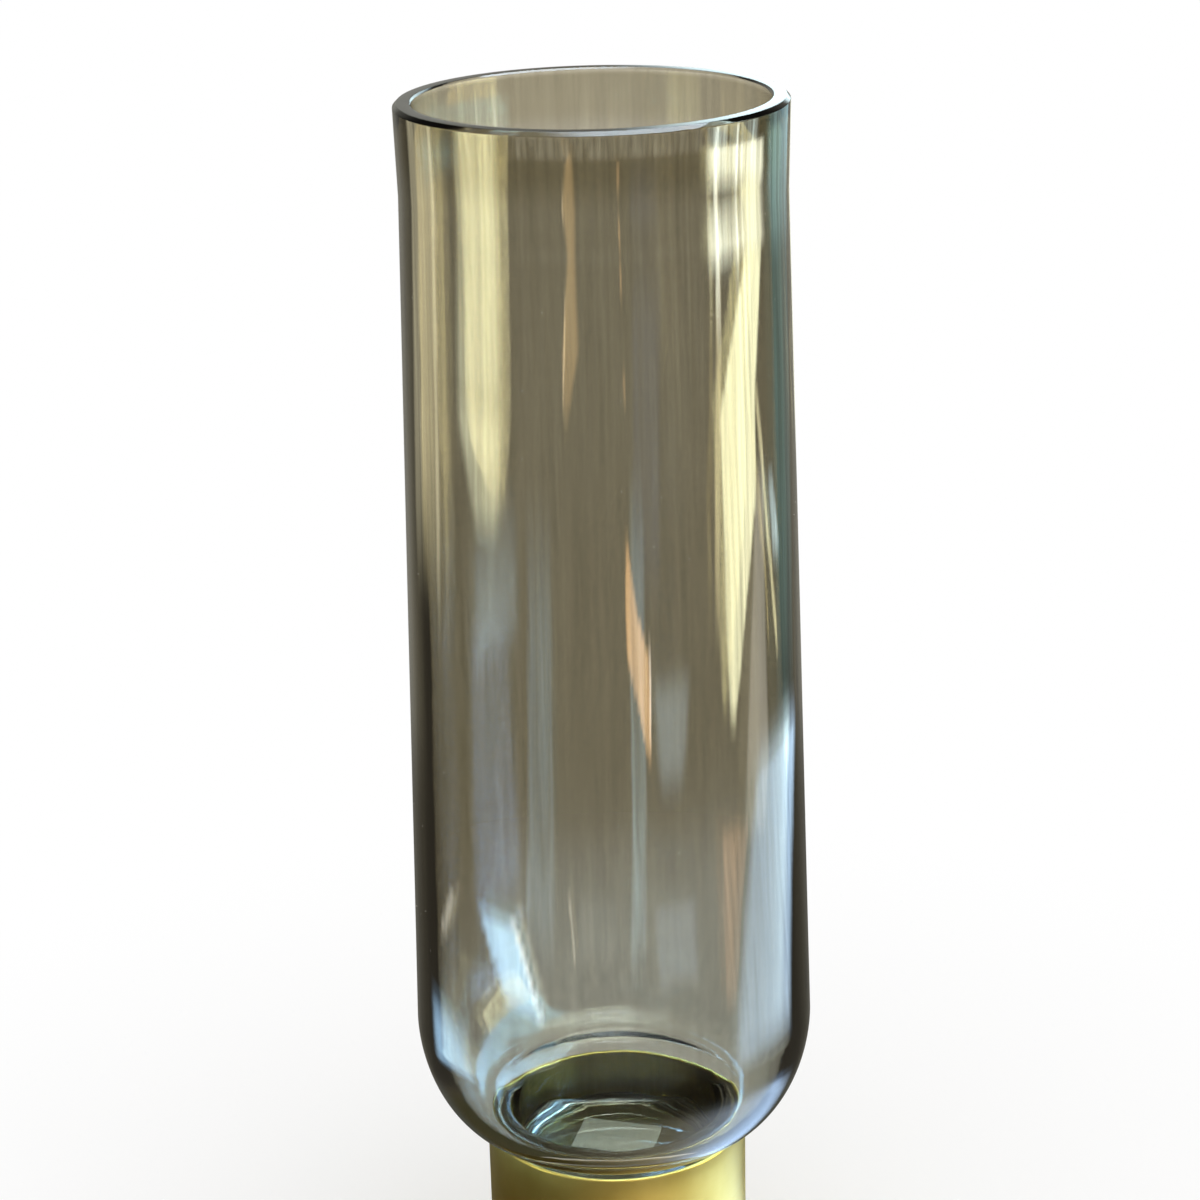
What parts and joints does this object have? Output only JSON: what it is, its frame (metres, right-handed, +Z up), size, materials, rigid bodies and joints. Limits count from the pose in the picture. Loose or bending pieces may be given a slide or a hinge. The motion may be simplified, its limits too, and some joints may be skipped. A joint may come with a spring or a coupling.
{
  "type": "glass vase",
  "caption": "Tall thick-walled smoked glass vase with an open mouth and rounded shoulder, its short stem standing in a plain brass cylinder base.",
  "frame": {"origin": "centre of the underside of the foot felt, the face the vase stands on", "axes": "+Z up along the axis of the vase, through the open mouth; -Y is the side that faces the viewer of the picture; +X is to the viewer's right"},
  "size_m": [0.1328, 0.1328, 0.4275],
  "materials": {
    "smoked_glass": "clear grey-brown smoked glass, fire polished",
    "label_paper": "matt blank paper sticker",
    "brushed_brass": "satin brushed antique brass",
    "pressed_steel": "plain pressed sheet",
    "dark_felt": "felt",
    "liner_felt": "felt",
    "steel_plate": "plain steel, lightly blackened",
    "foot_felt": "felt"
  },
  "bodies": {
    "base": {"brass_sleeve": "brushed_brass", "seat_cup": "pressed_steel", "seat_pad": "dark_felt", "liner_band": "liner_felt", "weight_plate": "steel_plate", "foot_felt": "foot_felt"},
    "glass": {"glass_vessel": "smoked_glass", "blank_label": "label_paper"}
  },
  "joints": [
    {"name": "glass_lift", "type": "slide", "parent": "base", "child": "glass", "axis": [0, 0, 1], "range_m": [0, 0.03]}
  ]
}
